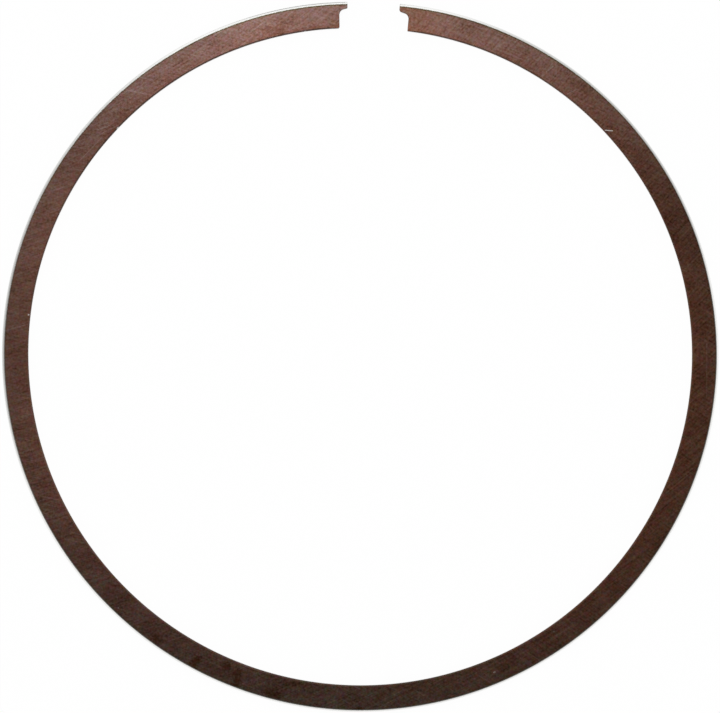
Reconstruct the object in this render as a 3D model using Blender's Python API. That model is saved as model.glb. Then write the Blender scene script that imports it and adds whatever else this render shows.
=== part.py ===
"""Piston ring of a two-stroke engine, lying flat in its free state.

The ring is one piece: a steel bar of small section, bent to the open form that
presses evenly on a cylinder when it is closed. Its side faces are coated brown
and its running face is plated. Both ends are notched from the inside, so that
the closed ring leaves a pocket for the pin that stops it turning.

Frame: +Z up, the lower side face on Z = 0, the gap at +Y, and the origin in the
middle of the free outline. Units are metres.
"""

import math
from dataclasses import dataclass

import bmesh
import bpy
import numpy as np
from mathutils import Matrix, Vector

MM = 0.001

# The ring in its cylinder and out of it
BORE = 66.4 * MM                # cylinder bore, which the closed ring fills
RADIAL_WALL = 2.5 * MM          # running face to back
AXIAL_HEIGHT = 1.0 * MM         # side face to side face
CLOSED_GAP = 0.3 * MM           # between the tips in the cylinder
FREE_GAP = 5.0 * MM             # between the tips when the ring lies free

# Section of the wall
PLATING = 0.19 * MM             # depth of the plated layer, which its bevels lay open
BEVEL_SLOPE = math.radians(22)  # how steeply they fall away from the side faces
BEVEL_ROUND = 0.05 * MM         # radius where a bevel meets the running face
FACE_CROWN = 0.015 * MM         # height of the barrel form of the running face
BACK_CHAMFER = 0.07 * MM        # chamfer along both edges of the back

# Pin notch, milled with one tool in both ends
HOOK_TAPER = math.radians(13)   # how fast a hook thickens away from its tip
NOTCH_FILLET = 0.55 * MM        # radius where a hook meets the end face


@dataclass(frozen=True)
class RingEnd:
    """What differs between the two ends."""

    side: int                   # -1 for the end at -X, 1 for the end at +X
    hook_length: float          # tip to end face
    hook_tip: float             # thickness of the hook at its tip
    tip_round: float            # radius on the hook's inner corner


LEFT_END = RingEnd(side=-1, hook_length=0.78 * MM, hook_tip=0.61 * MM, tip_round=0.07 * MM)
RIGHT_END = RingEnd(side=1, hook_length=0.94 * MM, hook_tip=0.72 * MM, tip_round=0.28 * MM)

# Fineness of the round stretches
STATIONS = 180                  # steps of the sweep from end to end
SUBSTEPS = 16                   # steps of the integral inside each of them
GAP_REFINEMENTS = 3             # corrections that bring the free gap to its size
FACE_STEPS = 4                  # steps across the running face
BEVEL_ARC_STEPS = 4             # steps round the corner between a bevel and that face
TIP_ARC_STEPS = 5               # steps round the hook's inner corner
NOTCH_ARC_STEPS = 10            # steps round the notch's fillet

# The bar is swept past its tips, and the cutter then makes both ends
SWEEP_EXCESS = 1.0 * MM         # length of bar that the cutter takes off each end
CUTTER_MARGIN = 1.5 * MM        # how far the cutter reaches past the section

COATING_COLOUR = (0.105, 0.052, 0.038, 1.0)
PLATING_COLOUR = (0.80, 0.82, 0.80, 1.0)
SHARP_ANGLE = math.radians(20)  # edges that turn by more are shaded as sharp ones
WELD = 0.001 * MM               # points closer than this are one


def clear_scene():
    """Remove every object that the file opened with."""
    for old in list(bpy.data.objects):
        bpy.data.objects.remove(old, do_unlink=True)


def new_collection(name):
    """Add a collection to the scene."""
    collection = bpy.data.collections.new(name)
    bpy.context.scene.collection.children.link(collection)
    return collection


def metal(name, colour, metallic, roughness):
    """Make a Principled BSDF material."""
    material = bpy.data.materials.new(name)
    material.use_nodes = True
    material.diffuse_color = colour
    shader = material.node_tree.nodes["Principled BSDF"]
    shader.inputs["Base Color"].default_value = colour
    shader.inputs["Metallic"].default_value = metallic
    shader.inputs["Roughness"].default_value = roughness
    return material


class FreeLine:
    """Middle line of the wall in the free state.

    A ring that presses evenly all round its cylinder is bent, from the circle
    of its closed form, in proportion to the bending moment of that pressure.
    At the angle a from the back, the free line's curvature is that of the
    circle times 1 - k (1 + cos a), so its heading is a - k (a + sin a). The
    opening factor k follows from how far the tips spring apart.
    """

    def __init__(self):
        self.radius = (BORE - RADIAL_WALL) / 2
        self.tip_angle = math.pi - CLOSED_GAP / BORE
        opening = FREE_GAP - CLOSED_GAP
        self.k = opening / (math.pi * (3 * self.radius + RADIAL_WALL))
        self.draw()
        for _ in range(GAP_REFINEMENTS):
            self.k *= opening / (self.tip_distance() - CLOSED_GAP)
            self.draw()
        self.line -= 1j * self.middle_height()

    def draw(self):
        """Integrate the heading from one end of the bar to the other."""
        end_angle = self.tip_angle + SWEEP_EXCESS / self.radius
        steps = STATIONS * SUBSTEPS
        step = 2 * end_angle / steps
        self.angles = np.linspace(-end_angle, end_angle, steps + 1)
        middles = (self.angles[1:] + self.angles[:-1]) / 2
        moves = self.radius * step * np.exp(1j * self.heading(middles))
        self.line = np.concatenate([[0], np.cumsum(moves)])
        self.line -= self.line[steps // 2] + 1j * self.radius

    def heading(self, angle):
        """Direction of the line at an angle from the back."""
        return angle - self.k * (angle + np.sin(angle))

    def tip_distance(self):
        """Distance between the tips' outer corners."""
        tip, _, outward = self.at(self.tip_angle)
        return 2 * (tip + outward * RADIAL_WALL / 2).x

    def at(self, angle):
        """Point of the line, with its tangent and its outward normal."""
        x = np.interp(angle, self.angles, self.line.real)
        y = np.interp(angle, self.angles, self.line.imag)
        heading = self.heading(angle)
        tangent = Vector((math.cos(heading), math.sin(heading), 0))
        outward = Vector((math.sin(heading), -math.cos(heading), 0))
        return Vector((x, y, 0)), tangent, outward

    def middle_height(self):
        """Height of the middle of the free outline above the line's own origin."""
        back, _, down = self.at(0)
        tip, _, up = self.at(self.tip_angle)
        lowest = back + down * RADIAL_WALL / 2
        highest = tip + up * RADIAL_WALL / 2
        return (lowest.y + highest.y) / 2

    def stations(self):
        """Points that the wall is swept through."""
        return [complex(point) for point in self.line[::SUBSTEPS]]


def rounded_corner(before, corner, after, radius, steps):
    """Points of the arc that rounds a corner between two straight runs."""
    arriving = (corner - before).normalized()
    leaving = (after - corner).normalized()
    turn = math.atan2(arriving.cross(leaving), arriving.dot(leaving))
    start = corner - arriving * radius * math.tan(abs(turn) / 2)
    to_centre = Vector((-arriving.y, arriving.x)) * math.copysign(radius, turn)
    points = []
    for i in range(steps + 1):
        spoke = Matrix.Rotation(turn * i / steps, 2) @ -to_centre
        points.append(start + to_centre + spoke)
    return points


def upper_bevel():
    """Points of the plating's upper bevel and its corner with the running face."""
    outside = RADIAL_WALL / 2
    drop = (PLATING - FACE_CROWN) * math.tan(BEVEL_SLOPE)
    start = Vector((outside - PLATING, AXIAL_HEIGHT))
    corner = Vector((outside - FACE_CROWN, AXIAL_HEIGHT - drop))
    lean = 2 * FACE_CROWN / (AXIAL_HEIGHT / 2 - drop)
    below = corner + Vector((lean, -1))
    return [start] + rounded_corner(start, corner, below, BEVEL_ROUND, BEVEL_ARC_STEPS)


def section_outline():
    """Section of the wall: X outwards from the middle line, Y up.

    The running face is barrel shaped between the two bevels, and the back has a
    chamfer along each edge.
    """
    outside = RADIAL_WALL / 2
    middle = AXIAL_HEIGHT / 2
    upper = upper_bevel()
    lower = [Vector((point.x, AXIAL_HEIGHT - point.y)) for point in upper]
    face_end = upper[-1]
    barrel = []
    for i in range(1, FACE_STEPS):
        share = 2 * i / FACE_STEPS - 1
        x = outside - (outside - face_end.x) * share ** 2
        barrel.append(Vector((x, middle + (face_end.y - middle) * share)))
    back_low = [Vector((-outside, BACK_CHAMFER)), Vector((-outside + BACK_CHAMFER, 0))]
    back_high = [Vector((point.x, AXIAL_HEIGHT - point.y)) for point in back_low[::-1]]
    return back_low + lower + barrel + upper[::-1] + back_high


def end_outline(end):
    """Cut that shapes one end, from outside the running face to behind the back.

    X is the distance from the tip back into the wall, and Y is the depth below
    the running face.
    """
    outside = Vector((0, -CUTTER_MARGIN))
    tip_corner = Vector((0, end.hook_tip))
    notch_depth = end.hook_tip + end.hook_length * math.tan(HOOK_TAPER)
    notch_corner = Vector((end.hook_length, notch_depth))
    behind = Vector((end.hook_length, RADIAL_WALL + CUTTER_MARGIN))
    points = [outside]
    points += rounded_corner(outside, tip_corner, notch_corner, end.tip_round, TIP_ARC_STEPS)
    points += rounded_corner(tip_corner, notch_corner, behind, NOTCH_FILLET, NOTCH_ARC_STEPS)
    points.append(behind)
    return points


def gap_outline(free_line):
    """Outline of the whole gap, pin notches included, seen from above."""
    outline = []
    for end in (RIGHT_END, LEFT_END):
        tip, tangent, outward = free_line.at(end.side * free_line.tip_angle)
        corner = tip + outward * RADIAL_WALL / 2
        into_wall = tangent * -end.side
        cut = [corner + into_wall * p.x - outward * p.y for p in end_outline(end)]
        outline += cut if end is RIGHT_END else cut[::-1]
    return outline


def poly_curve(name, points, cyclic):
    """Curve object through the points, with straight runs between them."""
    curve = bpy.data.curves.new(name, "CURVE")
    spline = curve.splines.new("POLY")
    spline.points.add(len(points) - 1)
    for target, point in zip(spline.points, points):
        target.co = (point[0], point[1], 0, 1)
    spline.use_cyclic_u = cyclic
    return bpy.data.objects.new(name, curve)


def curve_to_mesh(source, name, collection):
    """Replace a curve object by a closed mesh object of the same form."""
    bpy.context.view_layer.update()
    evaluated = source.evaluated_get(bpy.context.evaluated_depsgraph_get())
    mesh = bpy.data.meshes.new_from_object(evaluated)
    mesh.name = name
    work = bmesh.new()
    work.from_mesh(mesh)
    bmesh.ops.remove_doubles(work, verts=work.verts, dist=WELD)
    bmesh.ops.recalc_face_normals(work, faces=work.faces)
    work.to_mesh(mesh)
    work.free()
    made = bpy.data.objects.new(name, mesh)
    made.matrix_world = source.matrix_world
    collection.objects.link(made)
    bpy.data.objects.remove(source, do_unlink=True)
    return made


def sweep_wall(free_line, parts, helpers):
    """Sweep the section along the free line to make the bent bar."""
    section = poly_curve("section", section_outline(), cyclic=True)
    helpers.objects.link(section)
    section.hide_render = True
    section.display_type = "WIRE"
    route = [(point.real, point.imag) for point in free_line.stations()]
    bar = poly_curve("bar", route, cyclic=False)
    bar.data.dimensions = "3D"
    bar.data.twist_mode = "Z_UP"
    bar.data.bevel_mode = "OBJECT"
    bar.data.bevel_object = section
    bar.data.use_fill_caps = True
    parts.objects.link(bar)
    return curve_to_mesh(bar, "piston_ring", parts)


def make_gap_cutter(free_line, helpers):
    """Plate with the outline of the gap, taller than the wall."""
    outline = gap_outline(free_line)
    plate = poly_curve("gap_outline", outline, cyclic=True)
    plate.data.dimensions = "2D"
    plate.data.fill_mode = "BOTH"
    plate.data.extrude = AXIAL_HEIGHT / 2 + CUTTER_MARGIN
    plate.location.z = AXIAL_HEIGHT / 2
    helpers.objects.link(plate)
    cutter = curve_to_mesh(plate, "gap_cutter", helpers)
    cutter.hide_render = True
    cutter.display_type = "WIRE"
    return cutter


def plate_running_face(ring, free_line, plating_slot):
    """Give the running face and its bevels the plating's material."""
    line = np.array(free_line.stations())
    border = RADIAL_WALL / 2 - PLATING
    for face in ring.data.polygons:
        centre = complex(face.center.x, face.center.y)
        nearest = int(np.argmin(abs(line - centre)))
        before = line[max(nearest - 1, 0)]
        after = line[min(nearest + 1, len(line) - 1)]
        along = (after - before) / abs(after - before)
        outward = ((centre - line[nearest]) * along.conjugate()).imag * -1
        if outward > border:
            face.material_index = plating_slot


def main():
    """Model the ring."""
    clear_scene()
    parts = new_collection("piston_ring")
    helpers = new_collection("cutters")
    free_line = FreeLine()

    ring = sweep_wall(free_line, parts, helpers)
    coating = metal("brown_coating", COATING_COLOUR, metallic=1.0, roughness=0.35)
    plating = metal("running_face_plating", PLATING_COLOUR, metallic=1.0, roughness=0.22)
    ring.data.materials.append(coating)
    ring.data.materials.append(plating)
    plate_running_face(ring, free_line, plating_slot=1)
    ring.data.shade_smooth()
    ring.data.set_sharp_from_angle(angle=SHARP_ANGLE)

    cut = ring.modifiers.new("gap and pin notches", "BOOLEAN")
    cut.operation = "DIFFERENCE"
    cut.solver = "EXACT"
    cut.object = make_gap_cutter(free_line, helpers)


main()
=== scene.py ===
"""Looks of a piston ring that lies open and flat on a pale table.

The ring is one bar of steel. Both side faces were ground and then coated brown,
the running face is plated, and the plating's edges are bevelled, which gives
the brown face its bright rim. The ends are notched for the locating pin.

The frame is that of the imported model: +Z up, the lower side face on Z = 0, the
gap at +Y and the origin in the middle of the free outline. Units are metres.
"""

import logging
import math
from dataclasses import dataclass
from enum import Enum
from typing import Any, Callable, ClassVar, Union

import bmesh
import bpy
import numpy as np
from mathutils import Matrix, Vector


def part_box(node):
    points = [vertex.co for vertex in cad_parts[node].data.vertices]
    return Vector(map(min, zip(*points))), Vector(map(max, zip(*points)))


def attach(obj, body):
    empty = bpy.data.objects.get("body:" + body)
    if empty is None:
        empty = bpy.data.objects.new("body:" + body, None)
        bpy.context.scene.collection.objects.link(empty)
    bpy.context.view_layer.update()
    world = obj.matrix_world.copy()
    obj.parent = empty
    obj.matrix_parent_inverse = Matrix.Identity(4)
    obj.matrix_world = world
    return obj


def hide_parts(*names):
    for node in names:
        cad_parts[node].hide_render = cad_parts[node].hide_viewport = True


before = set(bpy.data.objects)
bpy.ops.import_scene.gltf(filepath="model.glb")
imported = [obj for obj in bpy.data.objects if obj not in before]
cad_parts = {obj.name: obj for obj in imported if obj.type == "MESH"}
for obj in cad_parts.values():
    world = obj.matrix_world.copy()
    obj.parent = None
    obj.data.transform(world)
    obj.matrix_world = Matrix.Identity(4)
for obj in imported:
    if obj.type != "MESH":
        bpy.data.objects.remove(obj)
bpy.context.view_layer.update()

log = logging.getLogger("scene")

MM = 0.001
Colour = tuple[float, float, float]
WHITE: Colour = (1.0, 1.0, 1.0)
MIDDLE_GREY: Colour = (0.5, 0.5, 0.5)       # the mean of a noise
Numbers = Union[np.ndarray, float]


class Side(Enum):
    """The two ends of the ring, by the sign of their X."""

    LEFT = -1
    RIGHT = 1


class Part(Enum):
    """Stretches of the ring's surface that meet along an edge."""

    FLAT = 0
    RIM = 1
    WALL = 2
    TIP = 3


class Blend(Enum):
    """Ways to lay one colour over another."""

    MIX = "MIX"
    MULTIPLY = "MULTIPLY"


def operator(
    operation: str, reflected: bool = False
) -> Callable[["Signal", "Operand"], "Signal"]:
    """Return the method behind an operator of a signal.

    Args:
        operation: the Math node's operation.
        reflected: whether the signal stands on the right.

    Returns:
        The method.
    """

    def apply(signal: "Signal", other: "Operand") -> "Signal":
        """Work out the operation on the two sides."""
        sides = (other, signal) if reflected else (signal, other)
        return signal.graph.math(operation, *sides)

    return apply


class Signal:
    """One output of a shader graph, which Python expressions can work on."""

    SMOOTH = {"interpolation_type": "SMOOTHSTEP"}

    def __init__(self, graph: "ShaderGraph", socket: bpy.types.NodeSocket) -> None:
        """Keep the graph that new nodes go into, and the output itself."""
        self.graph = graph
        self.socket = socket

    __add__ = operator("ADD")
    __radd__ = operator("ADD", reflected=True)
    __sub__ = operator("SUBTRACT")
    __rsub__ = operator("SUBTRACT", reflected=True)
    __mul__ = operator("MULTIPLY")
    __rmul__ = operator("MULTIPLY", reflected=True)
    __truediv__ = operator("DIVIDE")
    __rtruediv__ = operator("DIVIDE", reflected=True)

    def __abs__(self) -> "Signal":
        """Return the size without its sign."""
        return self.graph.math("ABSOLUTE", self)

    def rise(self, low: "Operand", high: "Operand") -> "Signal":
        """Return 0 at the low value and beyond, 1 at the high one, and a smooth step between."""
        sockets = {"Value": self, "From Min": low, "From Max": high}
        return self.graph.signal("ShaderNodeMapRange", self.SMOOTH, sockets, "Result")


Operand = Union[Signal, float]


class ShaderGraph:
    """The nodes of one material or world."""

    NUMBERS = ("DISTANCE", "DOT_PRODUCT", "LENGTH")     # vector operations that give a number

    def __init__(self, owner: Union[bpy.types.Material, bpy.types.World]) -> None:
        """Empty a node tree and keep it.

        Args:
            owner: the material or world that has the tree.
        """
        owner.use_nodes = True
        self.tree = owner.node_tree
        self.tree.nodes.clear()

    def node(
        self, kind: str, settings: dict[str, Any], sockets: dict[str, Any]
    ) -> bpy.types.Node:
        """Add a node.

        Args:
            kind: the node's type name.
            settings: its own settings, set before its sockets.
            sockets: values or signals by the identifier of the input.

        Returns:
            The new node.
        """
        made = self.tree.nodes.new(kind)
        for name, value in settings.items():
            setattr(made, name, value)
        inputs = {socket.identifier: socket for socket in made.inputs}
        for name, value in sockets.items():
            if isinstance(value, Signal):
                self.tree.links.new(value.socket, inputs[name])
            elif inputs[name].type == "RGBA":
                inputs[name].default_value = (*value, 1.0)
            else:
                inputs[name].default_value = value
        return made

    def signal(
        self, kind: str, settings: dict[str, Any], sockets: dict[str, Any], output: str
    ) -> Signal:
        """Add a node, as node does, and return its output of the given identifier."""
        made = self.node(kind, settings, sockets)
        return next(Signal(self, one) for one in made.outputs if one.identifier == output)

    def math(self, operation: str, *operands: Operand) -> Signal:
        """Add a Math node for one or two operands and return its result."""
        sockets = dict(zip(("Value", "Value_001"), operands))
        return self.signal("ShaderNodeMath", {"operation": operation}, sockets, "Value")

    def vector(self, x: Operand, y: Operand, z: Operand = 0.0) -> Signal:
        """Join three values to a vector."""
        sockets = {"X": x, "Y": y, "Z": z}
        return self.signal("ShaderNodeCombineXYZ", {}, sockets, "Vector")

    def split(self, vector: Signal) -> tuple[Signal, Signal, Signal]:
        """Return the three parts of a vector."""
        made = self.node("ShaderNodeSeparateXYZ", {}, {"Vector": vector})
        return tuple(Signal(self, output) for output in made.outputs)

    def vector_math(self, operation: str, *operands: Union[Signal, Colour]) -> Signal:
        """Add a Vector Math node.

        Args:
            operation: the node's operation.
            operands: up to three vectors or signals.

        Returns:
            The result, a vector or a number.
        """
        sockets = dict(zip(("Vector", "Vector_001", "Vector_002"), operands))
        output = "Value" if operation in self.NUMBERS else "Vector"
        return self.signal("ShaderNodeVectorMath", {"operation": operation}, sockets, output)

    def noise(self, place: Signal, detail: float = 2.0, roughness: float = 0.5) -> Signal:
        """Add a noise around 0 with one cell to each unit of its place."""
        sockets = {"Vector": place, "Scale": 1.0, "Detail": detail, "Roughness": roughness}
        return self.signal("ShaderNodeTexNoise", {}, sockets, "Fac") - 0.5

    def lay(
        self,
        factor: Operand,
        under: Union[Signal, Colour],
        over: Union[Signal, Colour],
        blend: Blend = Blend.MIX,
    ) -> Signal:
        """Lay a colour over another one.

        Args:
            factor: how much of the upper colour shows.
            under: the lower colour.
            over: the upper colour.
            blend: how the two combine.

        Returns:
            The resulting colour.
        """
        settings = {"data_type": "RGBA", "blend_type": blend.value, "clamp_factor": True}
        sockets = {"Factor_Float": factor, "A_Color": under, "B_Color": over}
        return self.signal("ShaderNodeMix", settings, sockets, "Result_Color")

    def tint(
        self, colour: Union[Signal, Colour], tint: Union[Signal, Colour], share: Operand = 1.0
    ) -> Signal:
        """Multiply a colour by a tint, as far as the share goes."""
        return self.lay(share, colour, tint, Blend.MULTIPLY)


def direction(bearing: float, tilt: float = math.pi / 2) -> tuple[float, float, float]:
    """Return the direction at a bearing that is tilted away from straight above."""
    aside = math.sin(tilt)
    return aside * math.cos(bearing), aside * math.sin(bearing), math.cos(tilt)


def add_object(name: str, data: bpy.types.ID) -> bpy.types.Object:
    """Add an object to the scene.

    Args:
        name: its name.
        data: its mesh, lamp or camera.

    Returns:
        The new object.
    """
    made = bpy.data.objects.new(name, data)
    bpy.context.scene.collection.objects.link(made)
    return made


@dataclass(frozen=True)
class RingEnd:
    """What differs between the two ends."""

    side: Side
    hook_length: float          # tip to end face
    hook_tip: float             # thickness of the hook at its tip
    tip_round: float            # radius on the hook's inner corner
    back_round: float           # radius where the end face meets the back


@dataclass(frozen=True)
class RingSizes:
    """Driving sizes of the ring, with its edges as broad as the photo shows them."""

    bore: float = 66.4 * MM             # cylinder bore, which the closed ring fills
    radial_wall: float = 2.5 * MM       # running face to back
    closed_gap: float = 0.3 * MM        # between the tips in the cylinder
    free_gap: float = 5.0 * MM          # between the tips when the ring lies free
    oval: float = 0.0014                # share by which the free ring is out of its form
    oval_bearing: float = math.radians(110)     # along which it is longest
    face_crown: float = 0.015 * MM      # height of the barrel form of the running face
    bevel_width: float = 0.19 * MM      # mean width of the plating's bevelled edge
    bevel_drift: float = 0.035 * MM     # how far the width departs from its mean
    bevel_widest: float = math.radians(115)
    bevel_slope: float = math.radians(22)
    bevel_round: float = 0.12 * MM      # radius between the bevel and the running face
    back_chamfer: float = 0.13 * MM     # chamfer along both edges of the back
    broken_edge: float = 0.025 * MM     # radius of the broken edges at the ends
    hook_taper: float = math.radians(13)
    notch_fillet: float = 0.55 * MM     # radius where a hook meets the end face
    left: RingEnd = RingEnd(
        side=Side.LEFT,
        hook_length=0.78 * MM,
        hook_tip=0.61 * MM,
        tip_round=0.12 * MM,
        back_round=0.17 * MM,
    )
    right: RingEnd = RingEnd(
        side=Side.RIGHT,
        hook_length=0.94 * MM,
        hook_tip=0.72 * MM,
        tip_round=0.28 * MM,
        back_round=0.035 * MM,
    )


@dataclass(frozen=True)
class Nick:
    """A small knock in the upper edge of the back."""

    travel: float               # millimetres along the ring, from its back
    size: float                 # how much wider the chamfer is there
    length: float


class FreeLine:
    """Middle line of the wall in the free state.

    A ring that presses evenly all round its cylinder is bent in proportion to
    the bending moment of that pressure, so at the angle a from the back its
    heading is a - k (a + sin a). The factor k follows from the free gap.
    """

    STEPS = 6000
    GAP_REFINEMENTS = 3
    LOCATE_STEPS = 8

    def __init__(self, sizes: RingSizes) -> None:
        """Draw the line.

        Args:
            sizes: sizes of the ring.
        """
        self.wall = sizes.radial_wall
        self.radius = (sizes.bore - sizes.radial_wall) / 2
        self.tip_angle = math.pi - sizes.closed_gap / sizes.bore
        self.angles = np.linspace(-self.tip_angle, self.tip_angle, self.STEPS + 1)
        opening = sizes.free_gap - sizes.closed_gap
        self.factor = opening / (math.pi * (3 * self.radius + sizes.radial_wall))
        self.line = self.integrate()
        for _ in range(self.GAP_REFINEMENTS):
            self.factor *= opening / (2 * self.at(self.tip, 0).real - sizes.closed_gap)
            self.line = self.integrate()
        self.line -= 0.5j * (self.at(0, 0).imag + self.at(self.tip, 0).imag)

    @property
    def tip(self) -> float:
        """Travel from the back to a tip."""
        return self.radius * self.tip_angle

    def heading(self, angle: Numbers) -> Numbers:
        """Direction of the line at an angle from the back."""
        return angle - self.factor * (angle + np.sin(angle))

    def integrate(self) -> np.ndarray:
        """Add up the line from its headings.

        Returns:
            Its points as complex numbers, the back at -radius.
        """
        middles = (self.angles[1:] + self.angles[:-1]) / 2
        step = self.angles[1] - self.angles[0]
        moves = self.radius * step * np.exp(1j * self.heading(middles))
        line = np.concatenate([[0], np.cumsum(moves)])
        return line - line[self.STEPS // 2] - 1j * self.radius

    def tangent(self, travel: Numbers) -> Numbers:
        """Direction of growing travel, as a complex number of length 1."""
        return np.exp(1j * self.heading(np.asarray(travel) / self.radius))

    def outward(self, travel: Numbers) -> Numbers:
        """Direction from the back to the running face."""
        return -1j * self.tangent(travel)

    def at(self, travel: Numbers, depth: Numbers) -> Numbers:
        """Place of a point of the wall.

        Args:
            travel: distance along the middle line from the back of the ring.
            depth: distance below the running face.

        Returns:
            The place in plan as a complex number.
        """
        angle = np.asarray(travel) / self.radius
        x = np.interp(angle, self.angles, self.line.real)
        y = np.interp(angle, self.angles, self.line.imag)
        return x + 1j * y + self.outward(travel) * (self.wall / 2 - depth)

    def locate(self, places: np.ndarray, near: float) -> tuple[np.ndarray, np.ndarray]:
        """Travel and depth of places in plan.

        Args:
            places: the places, as complex numbers.
            near: a travel in their neighbourhood.

        Returns:
            The travel of each place, and its distance below the running face.
        """
        travel = np.full(len(places), near)
        for _ in range(self.LOCATE_STEPS):
            away = places - self.at(travel, self.wall / 2)
            travel = travel + (away * self.tangent(travel).conj()).real
        away = places - self.at(travel, self.wall / 2)
        return travel, self.wall / 2 - (away * self.outward(travel).conj()).real


def rounded_corner(
    before: complex, corner: complex, after: complex, radius: float, steps: int
) -> np.ndarray:
    """Return the points of the arc that rounds a corner.

    Args:
        before: a point on the straight run that arrives.
        corner: where the two runs meet.
        after: a point on the run that leaves.
        radius: radius of the arc.
        steps: number of its pieces.

    Returns:
        The points as complex numbers.
    """
    arriving = (corner - before) / abs(corner - before)
    leaving = (after - corner) / abs(after - corner)
    turn = float(np.angle(leaving / arriving))
    start = corner - arriving * radius * math.tan(abs(turn) / 2)
    centre = start + 1j * arriving * math.copysign(radius, turn)
    return centre + (start - centre) * np.exp(1j * np.linspace(0, turn, steps + 1))


class Skin:
    """Collects the grids and panels of a closed surface and welds them."""

    WELD = 0.0012 * MM
    CREASE = math.radians(16)

    def __init__(self, oval: complex) -> None:
        """Start with no surface.

        Args:
            oval: the share by which it is drawn out, at twice the bearing.
        """
        self.oval = oval
        self.tables: list[np.ndarray] = []
        self.faces: list[list[int]] = []
        self.parts: list[int] = []
        self.count = 0

    def add_points(
        self,
        plan: np.ndarray,
        height: Numbers,
        travel: Numbers,
        depth: Numbers,
        spread: np.ndarray,
    ) -> np.ndarray:
        """Add points.

        Args:
            plan: places seen from above, as complex numbers.
            height: heights above the lower side face.
            travel: distances along the ring.
            depth: distances below the running face.
            spread: places in the flat pattern, as complex numbers.

        Returns:
            The numbers of the points, in the shape of plan.
        """
        plan = plan + self.oval * plan.conj()
        columns = plan.real, plan.imag, height, travel, depth, spread.real, spread.imag
        table = np.stack(np.broadcast_arrays(*columns), -1).reshape(-1, len(columns))
        self.tables.append(table)
        first = self.count
        self.count += len(table)
        return np.arange(first, self.count).reshape(plan.shape)

    def add_grid(self, part: Part, *columns: Numbers) -> None:
        """Add a grid of points with the faces between them.

        Args:
            part: the stretch of surface that it belongs to.
            columns: the points, as add_points takes them.
        """
        index = self.add_points(*columns)
        corners = [index[:-1, :-1], index[:-1, 1:], index[1:, 1:], index[1:, :-1]]
        quads = np.stack([corner.ravel() for corner in corners], -1)
        self.faces.extend(quads.tolist())
        self.parts.extend([part.value] * len(quads))

    def add_panel(self, part: Part, *columns: Numbers) -> None:
        """Add one flat face through the points, as add_points takes them."""
        self.faces.append(self.add_points(*columns).tolist())
        self.parts.append(part.value)

    def build(self, name: str) -> bpy.types.Object:
        """Weld the surface and make it an object.

        Args:
            name: the object's name.

        Returns:
            The object, with the attributes travel and depth.
        """
        *places, travel, depth, along, across = np.concatenate(self.tables).T
        mesh = bpy.data.meshes.new(name)
        mesh.from_pydata(np.stack(places, -1).tolist(), [], self.faces)
        for label, values in (("travel", travel), ("depth", depth)):
            layer = mesh.attributes.new(label, "FLOAT", "POINT")
            layer.data.foreach_set("value", values.astype(np.float32))
        parts = mesh.attributes.new("part", "INT", "FACE")
        parts.data.foreach_set("value", self.parts)
        self.lay_flat(mesh, along + 1j * across)
        self.weld(mesh)
        return add_object(name, mesh)

    def lay_flat(self, mesh: bpy.types.Mesh, spread: np.ndarray) -> None:
        """Give the mesh its flat pattern, scaled to the unit square.

        Args:
            mesh: the mesh.
            spread: place of each of its points in the pattern.
        """
        spread -= spread.real.min() + 1j * spread.imag.min()
        spread /= max(spread.real.max(), spread.imag.max())
        corners = np.zeros(len(mesh.loops), np.int32)
        mesh.loops.foreach_get("vertex_index", corners)
        places = spread[corners]
        layer = mesh.uv_layers.new(name="OFBake")
        values = np.stack([places.real, places.imag], -1).ravel()
        layer.data.foreach_set("uv", values.astype(np.float32))

    def weld(self, mesh: bpy.types.Mesh) -> None:
        """Join the grids along their borders, and crease the edges between parts.

        Args:
            mesh: the mesh.
        """
        work = bmesh.new()
        work.from_mesh(mesh)
        part = work.faces.layers.int["part"]
        bmesh.ops.remove_doubles(work, verts=work.verts, dist=self.WELD)
        panels = [face for face in work.faces if len(face.verts) > 4]
        bmesh.ops.triangulate(work, faces=panels, ngon_method="BEAUTY")
        bmesh.ops.recalc_face_normals(work, faces=work.faces)
        for face in work.faces:
            face.smooth = True
        for edge in work.edges:
            sides = {face[part] for face in edge.link_faces}
            edge.smooth = len(sides) == 1 and edge.calc_face_angle(math.pi) < self.CREASE
        work.to_mesh(mesh)
        work.free()
        mesh.attributes.remove(mesh.attributes["part"])


def run_along(points: np.ndarray) -> np.ndarray:
    """Distance along an outline to each of its points."""
    return np.concatenate([[0], np.cumsum(abs(np.diff(points)))])


def inward_normals(points: np.ndarray, turn: complex) -> np.ndarray:
    """Directions square to an outline, long enough to move both its runs by the same.

    Args:
        points: the outline, as complex numbers.
        turn: 1j where the material is on the outline's left, -1j on its right.

    Returns:
        A complex number for each point.
    """
    runs = np.diff(points)
    sides = turn * runs / abs(runs)
    before = np.concatenate([sides[:1], sides])
    after = np.concatenate([sides, sides[-1:]])
    both = before + after
    return 2 * both / abs(both) ** 2


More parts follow.
